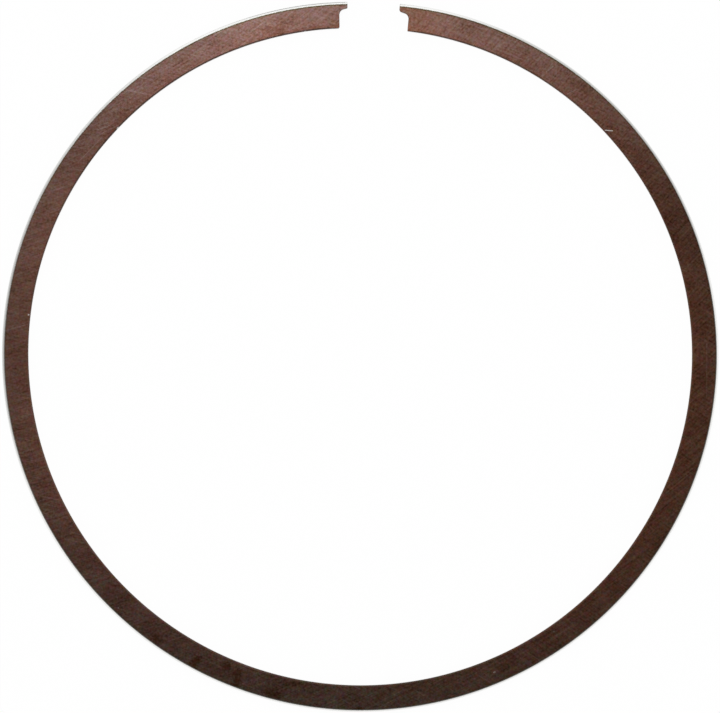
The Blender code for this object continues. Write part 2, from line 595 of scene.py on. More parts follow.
@dataclass
class PistonRing:
    """The ring: sizes, mesh and finish."""

    SEARCH_STEPS: ClassVar[int] = 200   # for the place where an end face meets the back

    sizes: RingSizes = RingSizes()
    stations: int = 900                 # steps along the body
    across: int = 5                     # steps across the coated faces
    end_zone: float = 2.0 * MM          # stretch at each end that has its own layout
    zone_rows: int = 10                 # rows of the rim along it
    back_rows: int = 8                  # and of the back
    land: float = 0.3 * MM              # depth where the rim's grid meets the coated face
    round_steps: int = 6                # steps of a broken edge
    tip_steps: int = 8                  # of a hook's inner corner
    fillet_steps: int = 16              # and of the fillet behind it
    nick_reach: float = 2.5             # closer stations beside a nick, in its lengths
    nick_steps: int = 12
    blocks: int = 5                     # rows of the flat pattern
    block_gap: float = 0.35 * MM        # space between them
    nicks: tuple[Nick, ...] = (
        Nick(travel=-93.75, size=0.04, length=0.11),
        Nick(travel=-73.08, size=0.07, length=0.10),
        Nick(travel=-53.00, size=0.05, length=0.10),
        Nick(travel=-30.60, size=0.04, length=0.09),
        Nick(travel=33.00, size=0.05, length=0.12),
        Nick(travel=34.70, size=0.03, length=0.07),
        Nick(travel=38.00, size=0.04, length=0.10),
    )

    def __post_init__(self) -> None:
        """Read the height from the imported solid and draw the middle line."""
        low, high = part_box("piston_ring")
        self.height = high.z - low.z
        self.line = FreeLine(self.sizes)
        self.body_end = self.line.tip - self.end_zone
        self.lay_out_pattern()

    def body_stations(self) -> np.ndarray:
        """Lay out the body's stations, closer together at the nicks.

        Returns:
            Their distances along the ring.
        """
        even = np.linspace(-self.body_end, self.body_end, self.stations + 1)
        near = np.linspace(-self.nick_reach, self.nick_reach, self.nick_steps + 1)
        extra = [(nick.travel + nick.length * near) * MM for nick in self.nicks]
        return np.unique(np.round(np.concatenate([even, *extra]), 8))

    def bevel_width(self, travel: np.ndarray) -> np.ndarray:
        """Width of the plating's bevel.

        Args:
            travel: distances along the ring.

        Returns:
            The width at each.
        """
        toward = np.exp(1j * self.sizes.bevel_widest)
        share = (self.line.at(travel, 0) / toward).real / (self.sizes.bore / 2)
        return self.sizes.bevel_width + self.sizes.bevel_drift * share

    def rim_profile(self, bevel: float) -> np.ndarray:
        """Section of the plated rim.

        Args:
            bevel: width of the bevelled edges.

        Returns:
            The points from the upper face round to the lower one, as depth + height j.
        """
        sizes, top = self.sizes, self.height
        edge = bevel + 1j * top
        drop = (bevel - sizes.face_crown) * math.tan(sizes.bevel_slope)
        corner = sizes.face_crown + 1j * (top - drop)
        lean = 2 * sizes.face_crown / (top / 2 - drop)
        below = corner - lean - 1j
        bend = rounded_corner(edge, corner, below, sizes.bevel_round, self.round_steps)
        land = self.land + 1j * top
        upper = np.concatenate([[land, (land + edge) / 2, edge], bend])
        share = np.linspace(1, -1, 2 * self.round_steps + 1)[1:-1]
        half_face = bend[-1].imag - top / 2
        barrel = bend[-1].real * share ** 2 + 1j * (top / 2 + half_face * share)
        return np.concatenate([upper, barrel, upper[::-1].conj() + 1j * top])

    def rim_rows(self) -> tuple[np.ndarray, np.ndarray]:
        """Rows of the rim's grid.

        Returns:
            The travel of each row, and how far its section is drawn in.
        """
        edge = self.sizes.broken_edge
        turn = np.linspace(math.pi / 2, 0, self.round_steps + 1)
        near_tip = edge * (1 - np.sin(turn)) - self.line.tip
        drawn_in = edge * (1 - np.cos(turn))
        zone = np.linspace(near_tip[-1], -self.body_end, self.zone_rows + 1)[1:-1]
        half = np.concatenate([near_tip, zone])
        inset = np.concatenate([drawn_in, np.zeros(len(zone))])
        body = self.body_stations()
        travel = np.concatenate([half, body, -half[::-1]])
        return travel, np.concatenate([inset, np.zeros(len(body)), inset[::-1]])

    def notch_path(self, end: RingEnd) -> np.ndarray:
        """Outline of one end in plan, from the tip face round the notch to the back.

        Args:
            end: which end.

        Returns:
            The points as complex numbers.
        """
        sizes, line, side = self.sizes, self.line, end.side.value
        tip = side * line.tip
        origin = line.at(tip, 0)
        inward = -side * line.tangent(tip)
        down = -line.outward(tip)
        notch_depth = end.hook_tip + end.hook_length * math.tan(sizes.hook_taper)
        start = origin + down * self.land
        hook = origin + down * end.hook_tip
        notch = origin + inward * end.hook_length + down * notch_depth
        steps_back = np.linspace(0, self.end_zone, self.SEARCH_STEPS)
        back = line.at(tip - side * steps_back, sizes.radial_wall)
        reached = ((back - origin) * np.conj(inward)).real
        crossing = tip - side * np.interp(end.hook_length, reached, steps_back)
        corner = line.at(crossing, sizes.radial_wall)
        beyond = corner - side * line.tangent(crossing) * end.back_round * 2
        return np.concatenate([
            [start],
            rounded_corner(start, hook, notch, end.tip_round, self.tip_steps),
            rounded_corner(hook, notch, corner, sizes.notch_fillet, self.fillet_steps),
            rounded_corner(notch, corner, beyond, end.back_round, self.round_steps),
        ])

    def wall_grid(
        self,
        plan: np.ndarray,
        inward: np.ndarray,
        upper: np.ndarray,
        lower: np.ndarray,
        straight: np.ndarray,
    ) -> tuple[np.ndarray, np.ndarray]:
        """Points of a wall with its two broken edges.

        Args:
            plan: the outline in plan.
            inward: direction into the material at each of its points.
            upper: width of the upper edge there.
            lower: width of the lower edge.
            straight: 0 where both edges are round and 1 where they are chamfers.

        Returns:
            Places in plan and heights, a row for each point of the outline.
        """
        turn = np.linspace(0, math.pi / 2, self.round_steps + 1)
        share = np.linspace(0, 1, self.round_steps + 1)
        curved = (1 - np.sin(turn)) + 1j * (1 - np.cos(turn))
        chamfer = (1 - share) + 1j * share
        edge = curved + (chamfer - curved) * straight[:, None]
        top = edge * upper[:, None]
        foot = (edge * lower[:, None])[:, ::-1]
        places = plan[:, None] + inward[:, None] * np.hstack([top.real, foot.real])
        return places, np.hstack([self.height - top.imag, foot.imag])

    def lay_out_pattern(self) -> None:
        """Work out where each stretch of the section lies across the flat pattern."""
        wall = self.sizes.radial_wall
        along = run_along(self.rim_profile(self.sizes.bevel_width))
        self.rim_lanes = wall - self.land + along[-1] - along
        self.upper_lane = wall - 2 * self.land + along[-1]
        one = np.ones(1)
        chamfer = one * self.sizes.back_chamfer
        plan, height = self.wall_grid(np.zeros(1), one, chamfer, chamfer, one)
        self.wall_run = run_along(plan[0] + 1j * height[0])
        self.wall_lanes = self.upper_lane + wall + self.wall_run
        self.block_pitch = self.wall_lanes[-1] + self.block_gap
        self.block_length = 2 * self.line.tip / self.blocks
        stations = self.body_stations()
        wanted = (np.arange(1, self.blocks) - self.blocks / 2) * self.block_length
        cuts = [stations[abs(stations - place).argmin()] for place in wanted]
        self.limits = [-math.inf, *cuts, math.inf]

    def face_lane(self, height: float, depth: Numbers) -> Numbers:
        """Place across the flat pattern of a point of the upper or the lower face."""
        return depth + self.upper_lane if height else self.sizes.radial_wall - depth

    def pattern(self, block: int, travel: np.ndarray, lane: np.ndarray) -> np.ndarray:
        """Place in the flat pattern of a point of a block."""
        start = (block - self.blocks / 2) * self.block_length
        return travel - start + 1j * (lane + block * self.block_pitch)

    def loose_pattern(self, end: RingEnd, place: np.ndarray) -> np.ndarray:
        """Place in the flat pattern of a point of an end, in the row past the blocks."""
        start = 0 if end.side is Side.LEFT else self.block_length / 2
        return place + start + 1j * self.blocks * self.block_pitch

    def add_strip(
        self,
        skin: Skin,
        part: Part,
        travel: np.ndarray,
        plan: np.ndarray,
        height: Numbers,
        depth: Numbers,
        lane: np.ndarray,
    ) -> None:
        """Add a grid that runs along the ring, cut where the flat pattern's blocks end.

        Args:
            skin: the surface so far.
            part: which part of the surface it is.
            travel: the travel of each row.
            plan: places seen from above, row by row.
            height: heights above the lower side face.
            depth: distances below the running face.
            lane: places across the flat pattern.
        """
        columns = [np.broadcast_to(column, plan.shape) for column in (height, depth, lane)]
        for block in range(self.blocks):
            rows = (travel >= self.limits[block]) & (travel <= self.limits[block + 1])
            if rows.sum() > 1:
                level, below, across = (column[rows] for column in columns)
                reach = travel[rows, None]
                spread = self.pattern(block, reach, across)
                skin.add_grid(part, plan[rows], level, reach, below, spread)

    def add_rim(self, skin: Skin) -> None:
        """Add the plated rim, from tip to tip, with both tip faces.

        Args:
            skin: the surface so far.
        """
        travel, inset = self.rim_rows()
        profiles = []
        for bevel, drawn_in in zip(self.bevel_width(travel), inset):
            profile = self.rim_profile(float(bevel))
            profiles.append(profile + drawn_in * inward_normals(profile, 1j))
        section = np.stack(profiles)
        plan = self.line.at(travel[:, None], section.real)
        self.add_strip(skin, Part.RIM, travel, plan, section.imag, section.real, self.rim_lanes)
        for end, row in ((self.sizes.left, 0), (self.sizes.right, -1)):
            shape = section[row]
            spread = self.loose_pattern(end, shape + self.block_length / 4)
            skin.add_panel(Part.TIP, plan[row], shape.imag, travel[row], shape.real, spread)

    def upper_edge(self, travel: np.ndarray) -> np.ndarray:
        """Width of the upper chamfer along the back, with its nicks.

        Args:
            travel: distances along the ring.

        Returns:
            The width at each.
        """
        width = np.full(len(travel), self.sizes.back_chamfer)
        for nick in self.nicks:
            away = (travel / MM - nick.travel) / nick.length
            width += nick.size * MM * np.exp(-away ** 2)
        return width

    def add_body(self, skin: Skin) -> None:
        """Add the body's upper and lower face and its back.

        Args:
            skin: the surface so far.
        """
        wall = self.sizes.radial_wall
        travel = self.body_stations()
        upper = self.upper_edge(travel)
        lower = np.full(len(travel), self.sizes.back_chamfer)
        share = np.linspace(0, 1, self.across + 1)
        for width, height in ((upper, self.height), (lower, 0.0)):
            depth = self.land + (wall - width[:, None] - self.land) * share
            plan = self.line.at(travel[:, None], depth)
            lane = self.face_lane(height, depth)
            self.add_strip(skin, Part.FLAT, travel, plan, height, depth, lane)
        back, inward = self.line.at(travel, wall), self.line.outward(travel)
        plan, heights = self.wall_grid(back, inward, upper, lower, np.ones(len(travel)))
        self.add_strip(skin, Part.WALL, travel, plan, heights, wall, self.wall_lanes)

    def add_end(self, skin: Skin, end: RingEnd) -> None:
        """Add an end's notch, the first stretch of back behind it, and its two faces.

        Args:
            skin: the surface so far.
            end: which end.
        """
        sizes, line, side = self.sizes, self.line, end.side.value
        notch = self.notch_path(end)
        travel, depth = line.locate(notch, side * line.tip)
        inward = inward_normals(notch, 1j * side)
        inward[-1] = line.outward(travel[-1])
        even = np.full(len(notch), sizes.broken_edge)
        places, heights = self.wall_grid(notch, inward, even, even, np.zeros(len(notch)))
        spread = self.loose_pattern(end, run_along(notch)[:, None] + 1j * self.wall_run)
        skin.add_grid(Part.WALL, places, heights, travel[:, None], depth[:, None], spread)

        share = np.linspace(0, 1, self.back_rows + 1)
        run = travel[-1] + (side * self.body_end - travel[-1]) * share
        width = sizes.broken_edge + (sizes.back_chamfer - sizes.broken_edge) * share
        back, inward = line.at(run, sizes.radial_wall), line.outward(run)
        plan, heights = self.wall_grid(back, inward, width, width, share)
        self.add_strip(skin, Part.WALL, run, plan, heights, sizes.radial_wall, self.wall_lanes)
        for column, height in ((0, self.height), (-1, 0.0)):
            border = np.concatenate([places[:, column], plan[1:, column]])
            self.add_end_face(skin, end, border, height)

    def add_end_face(
        self, skin: Skin, end: RingEnd, border: np.ndarray, height: float
    ) -> None:
        """Add the upper or lower coated face of an end.

        Args:
            skin: the surface so far.
            end: which end.
            border: its border along the notch and the back, from tip to body.
            height: height of the face.
        """
        sizes, line, side = self.sizes, self.line, end.side.value
        reach = sizes.radial_wall - sizes.back_chamfer - self.land
        seam = self.land + reach * np.linspace(1, 0, self.across + 1)[1:]
        rows = self.rim_rows()[0][:self.round_steps + self.zone_rows]
        rim = -side * rows[self.round_steps + 1:][::-1]
        travel, depth = line.locate(border, side * line.tip)
        travel = np.concatenate([travel, np.full(len(seam), side * self.body_end), rim])
        depth = np.concatenate([depth, seam, np.full(len(rim), self.land)])
        corners = line.at(travel, depth)
        corners[:len(border)] = border
        block = 0 if end.side is Side.LEFT else self.blocks - 1
        spread = self.pattern(block, travel, self.face_lane(height, depth))
        skin.add_panel(Part.FLAT, corners, height, travel, depth, spread)

    def build(self) -> bpy.types.Object:
        """Build the ring's surface as one closed mesh.

        Returns:
            The dressed piece, without its finish.
        """
        skin = Skin(self.sizes.oval * np.exp(2j * self.sizes.oval_bearing))
        self.add_rim(skin)
        self.add_body(skin)
        for end in (self.sizes.left, self.sizes.right):
            self.add_end(skin, end)
        return skin.build("piston_ring_dressed")

    def dress(self, piece: bpy.types.Object, finish: "RingFinish") -> None:
        """Give the piece its finish and its place in the frame.

        Args:
            piece: the ring's mesh.
            finish: its looks.
        """
        piece.data.materials.append(finish.material(self.sizes, self.height))
        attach(piece, "root")
        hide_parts("piston_ring")


class Spot:
    """The point that is shaded, as signals that say where on the ring it lies."""

    def __init__(self, graph: ShaderGraph, ring_height: float) -> None:
        """Read the signals.

        Args:
            graph: the material's graph.
            ring_height: lower to upper side face.
        """
        place = graph.signal("ShaderNodeTexCoord", {}, {}, "Object")
        normal = graph.signal("ShaderNodeTexCoord", {}, {}, "Normal")
        self.graph = graph
        self.x, self.y, self.height = graph.split(place)
        self.plan = graph.vector(self.x, self.y)
        self.travel, self.depth = (
            graph.signal("ShaderNodeAttribute", {"attribute_name": name}, {}, "Fac")
            for name in ("travel", "depth")
        )
        self.flat = abs(graph.split(normal)[2])     # 1 on a level surface, 0 on an upright one
        self.level = self.flat.rise(0.80, 0.97)     # 1 on the side faces, 0 on the walls
        self.upper = self.height.rise(0.4 * ring_height, 0.6 * ring_height)
        self.bearing = graph.math("ARCTAN2", self.y, self.x)
        self.ahead = graph.math("SINE", self.bearing)   # 1 at the gap and -1 at the back
        self.aside = graph.math("COSINE", self.bearing)
        self.twice = graph.math("COSINE", self.bearing * 2.0)

    def noise(self, cell: float, apart: float, detail: float, roughness: float = 0.5) -> Signal:
        """Add a noise with cells of a size, whose patterns on the two sides lie apart."""
        place = self.graph.vector(self.x / cell, self.y / cell, self.upper * apart)
        return self.graph.noise(place, detail, roughness)


@dataclass(frozen=True)
class Around:
    """A value that changes round the ring."""

    mean: float
    ahead: float = 0.0      # its change toward the gap, and the opposite toward the back
    aside: float = 0.0      # toward +X, and the opposite toward -X
    twice: float = 0.0      # toward both, and the opposite toward the gap and the back

    def at(self, spot: Spot) -> Signal:
        """Return the value at the point that is shaded."""
        changes = spot.ahead * self.ahead + spot.aside * self.aside + spot.twice * self.twice
        return changes + self.mean


@dataclass(frozen=True)
class Ramp:
    """A value that passes smoothly from one to another where a signal rises."""

    low: float              # of the signal, where the passage starts
    high: float             # and where it ends
    first: float            # the value at its start
    last: float             # and at its end

    def of(self, signal: Signal) -> Signal:
        """Return the value for a signal."""
        return signal.rise(self.low, self.high) * (self.last - self.first) + self.first


@dataclass(frozen=True)
class GrindingPass:
    """Marks of one pass of the face grinder, arcs about its wheel's far centre."""

    DEEP: ClassVar[tuple[float, float]] = (0.18, 0.34)  # of the noise, where a deep mark lies

    centre: tuple[float, float]     # in the ring's plane
    pitch: float                    # between neighbouring marks
    run: float                      # length of one mark
    seed: float                     # sets this pass apart from the others
    weight: float                   # strength of the marks
    scores: float                   # strength of the few long and bright ones

    def marks(self, spot: Spot) -> Signal:
        """Draw the marks.

        Args:
            spot: the point that is shaded.

        Returns:
            A signal around 0, drawn out along the marks.
        """
        graph, (x, y) = spot.graph, self.centre
        reach = graph.vector_math("DISTANCE", spot.plan, (x, y, 0.0))
        bearing = graph.math("ARCTAN2", spot.y - y, spot.x - x)
        along = bearing * (math.hypot(x, y) / self.run)
        across = reach / self.pitch
        side = spot.upper * 5.0 + self.seed
        fine = graph.noise(graph.vector(across, along, side), 3.0, 0.65)

        # A noise of another pitch, place and run, so that the two don't lie together
        deep = graph.noise(graph.vector(across * 1.1, along * 0.9, side + 9.0), 0.0)
        return fine * self.weight + deep.rise(*self.DEEP) * self.scores


@dataclass(frozen=True)
class Scratch:
    """A single fine mark that shows bare steel: a scratch, or a speck if it has no run."""

    start: tuple[float, float]      # millimetres in the ring's plane
    end: tuple[float, float]
    width: float                    # millimetres
    strength: float

    def mask(self, spot: Spot) -> Signal:
        """Draw the mark.

        Args:
            spot: the point that is shaded.

        Returns:
            Its strength in its middle, falling to 0 beside it.
        """
        graph = spot.graph
        start, end = Vector(self.start) * MM, Vector(self.end) * MM
        run = end - start
        along = (*run.normalized(), 0.0)
        away = graph.vector_math("SUBTRACT", spot.plan, (*start, 0.0))
        reach = graph.vector_math("DOT_PRODUCT", away, along)
        reach = graph.math("MINIMUM", graph.math("MAXIMUM", reach, 0.0), run.length)
        foot = graph.vector_math("MULTIPLY", along, reach)
        gap = graph.vector_math("DISTANCE", away, foot)
        return gap.rise(self.width * MM, 0.0) * self.strength


@dataclass(frozen=True)
class Stain:
    """Dark blotch in the coating, with an uneven outline."""

    OUTLINE: ClassVar[tuple[float, float]] = (1.2, 0.2)     # in sizes, from clear to full
    UNEVEN: ClassVar[float] = 1.5       # how far the blur moves that outline

    travel: float                   # millimetres, as are the sizes
    depth: float
    length: float
    width: float
    strength: float

    def mask(self, spot: Spot, blur: Signal) -> Signal:
        """Draw the stain.

        Args:
            spot: the point that is shaded.
            blur: a signal around 0 that makes the outline uneven.

        Returns:
            Its strength in the middle, falling to 0 round it.
        """
        across = (spot.depth - self.depth * MM) / (self.width * MM)
        along = (spot.travel - self.travel * MM) / (self.length * MM)
        away = spot.graph.vector_math("LENGTH", spot.graph.vector(along, across))
        return (away + blur * self.UNEVEN).rise(*self.OUTLINE) * self.strength


@dataclass(frozen=True)
class StretchLightAndTint:
    """Long stretch of the ring whose coating a tint multiplies: painted light and shade where the
    tint is grey, and the coating's own hue where it has a colour.
    """

    travel: float                   # millimetres, the middle of the stretch
    length: float                   # from there to where it ends
    tint: Colour                    # of the coating in the middle

    def share(self, spot: Spot) -> Signal:
        """Return 1 in the middle of the stretch and 0 beyond it."""
        return abs(spot.travel - self.travel * MM).rise(self.length * MM, 0.0)


@dataclass(frozen=True)
class BrownCoating:
    """Thin brown conversion coating on the ground side faces and the back."""

    warm: Colour = (0.121, 0.054, 0.033)
    cool: Colour = (0.106, 0.061, 0.052)
    patches: Colour = (0.98, 0.78, 1.05)    # how much each part of the colour varies
    dull: Colour = (1.14, 0.99, 0.88)       # tint of its darkest marks and patches
    bright: Colour = (0.92, 1.01, 1.11)     # and of the brightest ones
    dull_to_bright: tuple[float, float] = (0.6, 1.4)    # the shine of those two
    coolness: Around = Around(0.46, ahead=0.16, aside=-0.26, twice=-0.26)
    # painted shade: the patches are painted stronger away from the lamp, where the coating lies
    # in shade
    patches_in_shade: Around = Around(1.31, ahead=-0.55, aside=0.15)
    toward_face: Colour = (0.965, 1.03, 1.045)
    toward_back: Colour = (1.025, 0.985, 0.965)
    face_to_back: tuple[float, float] = (0.2 * MM, 2.4 * MM)    # depth of those two
    edge: Colour = (0.46, 0.60, 0.36)       # painted shade along the plating's border
    border_shade_zone: tuple[float, float] = (0.18 * MM, 0.05 * MM)     # how far from the plating
    border_shade_round: Ramp = Ramp(0.6, 1.0, first=0.8, last=1.3)      # the painted shade's strength, greater toward the gap
    border_shade_patches: float = 0.8               # and how much that varies
    back_edge: Colour = (1.12, 0.90, 0.74)  # along the back, where it is thinner
    back_zone: tuple[float, float] = (0.30 * MM, 0.10 * MM)     # how far from the back
    back_patches: Ramp = Ramp(-0.15, 0.15, first=0.0, last=0.45)    # its strength
    walls: Colour = (0.82, 0.97, 1.01)      # on the back and in the notches
    stain: Colour = (0.62, 0.42, 0.28)
    stain_grain: float = 0.5                # share of the grain in a stain's outline
    roughness: float = 0.31
    wall_roughness: float = 0.42
    cloud_roughness: float = 0.06           # how much the wide patches change it
    brightness: float = 0.98
    shine: float = 1.18                     # contrast of the grinding marks
    marks_in_shade: Around = Around(1.3, ahead=-0.3)       # times this round the ring, painted stronger in the shade away from the lamp
    marks_under_lamp: Ramp = Ramp(0.85, 1.0, first=0.0, last=-0.15)   # and painted weaker close to the gap, under the lamp
    raked: float = math.radians(65)         # bearing at which they are painted strongest, where the light rakes them
    raking: Ramp = Ramp(-0.3, 1.0, first=1.0, last=1.5)     # and how much stronger they are
    relief: float = 0.0012 * MM             # their height
    scratch_depth: float = 0.5              # as a share of it
    grain: float = 0.21 * MM                # size of the coating's grain
    grain_weight: float = 0.75
    cloud: float = 2.6 * MM                 # of its wide patches
    cloud_weight: float = 0.74
    hue: float = 0.44 * MM                  # of its patches of hue
    worn: float = 1.1 * MM                  # and of those along its edges
    passes: tuple[GrindingPass, ...] = (
        GrindingPass(
            (-70 * MM, 103 * MM), 0.18 * MM, run=4.2 * MM, seed=0.0, weight=0.8, scores=0.20
        ),
        GrindingPass(
            (-51 * MM, -141 * MM), 0.19 * MM, run=3.6 * MM, seed=20.0, weight=0.62, scores=0.20
        ),
    )
    stains: tuple[Stain, ...] = (
        Stain(travel=-19.2, depth=0.70, length=0.8, width=0.55, strength=0.9),
        Stain(travel=-14.9, depth=0.80, length=0.6, width=0.95, strength=1.2),
        Stain(travel=-12.0, depth=1.70, length=0.6, width=0.5, strength=1.0),
        Stain(travel=-10.8, depth=1.50, length=0.6, width=0.70, strength=0.9),
        Stain(travel=-10.5, depth=0.70, length=0.5, width=0.8, strength=0.9),
        Stain(travel=-7.0, depth=0.60, length=1.1, width=0.5, strength=0.8),
        Stain(travel=-4.9, depth=2.10, length=1.2, width=0.40, strength=0.8),
        Stain(travel=1.2, depth=0.25, length=0.5, width=0.28, strength=1.4),
        Stain(travel=-93.4, depth=1.85, length=1.8, width=0.60, strength=0.4),
        Stain(travel=94.0, depth=0.60, length=0.9, width=0.55, strength=0.3),
        Stain(travel=-96.0, depth=2.33, length=6.0, width=0.22, strength=0.5),
        Stain(travel=-75.6, depth=2.05, length=2.8, width=0.50, strength=0.4),
        Stain(travel=81.0, depth=0.75, length=1.0, width=0.55, strength=0.35),
    )
    stretch_light_and_tints: tuple[StretchLightAndTint, ...] = (
        # The first six are painted light and shade, near-grey tints that lighten or darken
        # stretches as the light falls on them; the last two are the coating's own hue
        StretchLightAndTint(travel=65.9, length=15.0, tint=(0.72, 0.72, 0.72)),
        StretchLightAndTint(travel=-72.6, length=13.0, tint=(0.79, 0.79, 0.79)),
        StretchLightAndTint(travel=-39.0, length=15.0, tint=(1.26, 1.26, 1.26)),
        StretchLightAndTint(travel=-92.0, length=5.5, tint=(1.16, 1.16, 1.16)),
        StretchLightAndTint(travel=-84.0, length=6.0, tint=(0.95, 0.95, 0.95)),
        StretchLightAndTint(travel=-62.0, length=9.0, tint=(1.05, 1.06, 1.06)),
        StretchLightAndTint(travel=100.0, length=7.0, tint=(1.06, 0.94, 0.82)),
        StretchLightAndTint(travel=0.0, length=28.0, tint=(0.93, 1.06, 1.00)),
    )
    scratches: tuple[Scratch, ...] = (
        Scratch((22.41, 22.45), (23.10, 22.42), width=0.075, strength=0.80),
        Scratch((-33.71, 1.22), (-31.92, 1.80), width=0.06, strength=0.10),
        Scratch((32.85, 2.60), (33.05, -2.43), width=0.05, strength=0.09),
        Scratch((16.59, 27.77), (17.26, 28.32), width=0.06, strength=0.10),
        Scratch((18.71, 25.76), (19.64, 26.24), width=0.06, strength=0.10),
        Scratch((-27.48, 17.44), (-25.39, 19.81), width=0.06, strength=0.06),
        Scratch((-25.80, 20.59), (-24.60, 21.05), width=0.08, strength=0.07),
        Scratch((-25.65, 21.00), (-24.75, 21.35), width=0.07, strength=0.06),
        Scratch((-31.61, 2.79), (-31.61, 2.79), width=0.13, strength=0.80),
        Scratch((-21.99, -24.70), (-21.99, -24.70), width=0.10, strength=0.35),
        Scratch((13.86, -29.41), (13.98, -29.36), width=0.10, strength=0.45),
        Scratch((19.41, -25.30), (19.41, -25.30), width=0.09, strength=0.30),
        Scratch((-6.46, 30.71), (-6.40, 30.72), width=0.09, strength=0.70),
        Scratch((-23.88, 20.80), (-23.80, 20.90), width=0.11, strength=0.80),
    )


@dataclass(frozen=True)
class FacePlating:
    """Bright plating on the running face and its bevelled edges."""

    bevel: Colour = (0.88, 0.88, 0.87)
    bevel_lines: Colour = (0.82, 0.82, 0.80)
    face: Colour = (0.66, 0.66, 0.65)
    face_lines: Colour = (0.50, 0.50, 0.49)
    roughness: float = 0.20
    bevel_level: tuple[float, float] = (0.25, 0.55)     # how level, from face to bevel
    ragged: float = 0.010 * MM          # how far its border with the coating wanders
    ragged_run: float = 0.2 * MM        # between those wanderings, along the ring
    ragged_rise: float = 0.3 * MM       # and upward
    border: Ramp = Ramp(-0.4, 1.4, first=0.122 * MM, last=0.0244 * MM)  # softness
    smoothed: float = 0.8               # how much of the coating's relief it hides
    lap_run: float = 1.6 * MM           # length of a lapping line
    lap_pitch: float = 0.022 * MM       # between neighbouring lines
    lap_contrast: float = 2.0
    lap_roughness: float = 0.10         # how much the lines change the roughness


